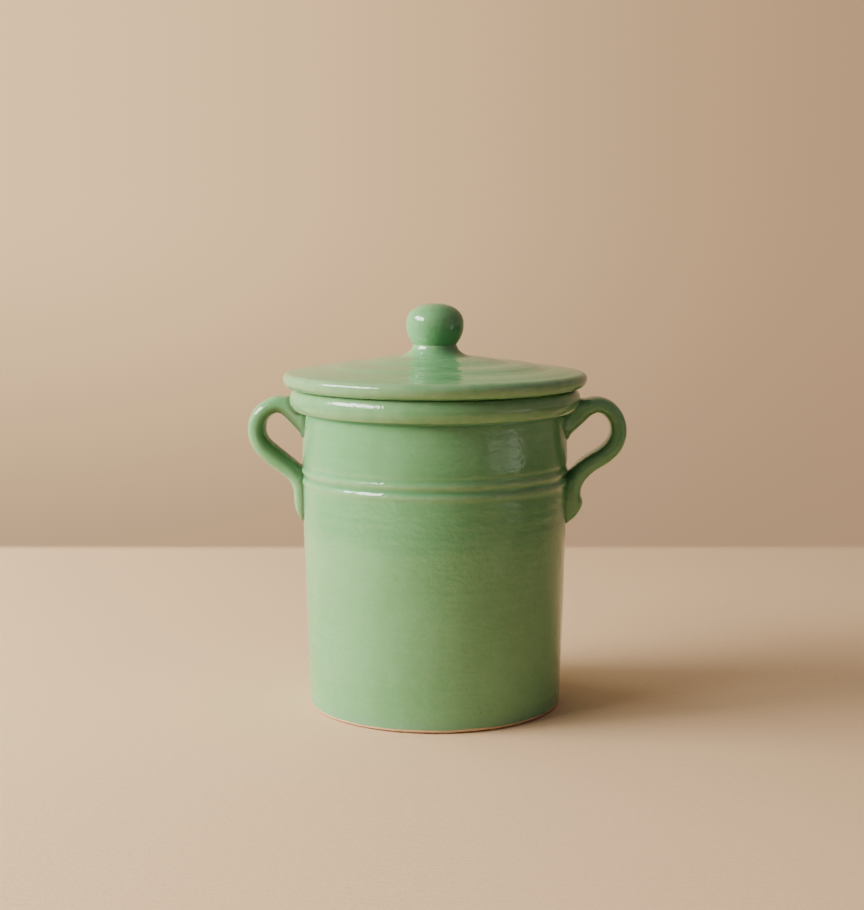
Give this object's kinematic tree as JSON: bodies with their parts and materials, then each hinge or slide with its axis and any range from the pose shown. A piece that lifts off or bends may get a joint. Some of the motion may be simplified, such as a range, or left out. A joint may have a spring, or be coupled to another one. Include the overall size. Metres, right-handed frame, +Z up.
{
  "type": "ceramic fermentation crock",
  "caption": "Green-glazed ceramic fermenting crock with two strap handles, a drop-on lid with a ball knob, and half-moon weights inside.",
  "frame": {"origin": "on the crock's axis, in the plane of the foot ring that it stands on", "axes": "+Z up along the axis, +X towards the right-hand handle, -Y towards the viewer"},
  "size_m": [0.272, 0.2178, 0.2895],
  "materials": {
    "glaze_green": "gloss",
    "bare_stoneware": "matte"
  },
  "bodies": {
    "crock": {"crock_body": "glaze_green", "handle_left": "glaze_green", "handle_right": "glaze_green"},
    "lid": {"lid": "glaze_green", "lid_knob": "glaze_green"},
    "weight_back": {"weight_half_back": "bare_stoneware"},
    "weight_front": {"weight_half_front": "bare_stoneware"}
  },
  "joints": [
    {"name": "lid_lift", "type": "slide", "parent": "crock", "child": "lid", "axis": [0, 0, 1], "range_m": [0, 0.2]},
    {"name": "weight_back_lift", "type": "slide", "parent": "crock", "child": "weight_back", "axis": [0, 0, 1], "range_m": [0, 0.19]},
    {"name": "weight_front_lift", "type": "slide", "parent": "crock", "child": "weight_front", "axis": [0, 0, 1], "range_m": [0, 0.19]}
  ]
}
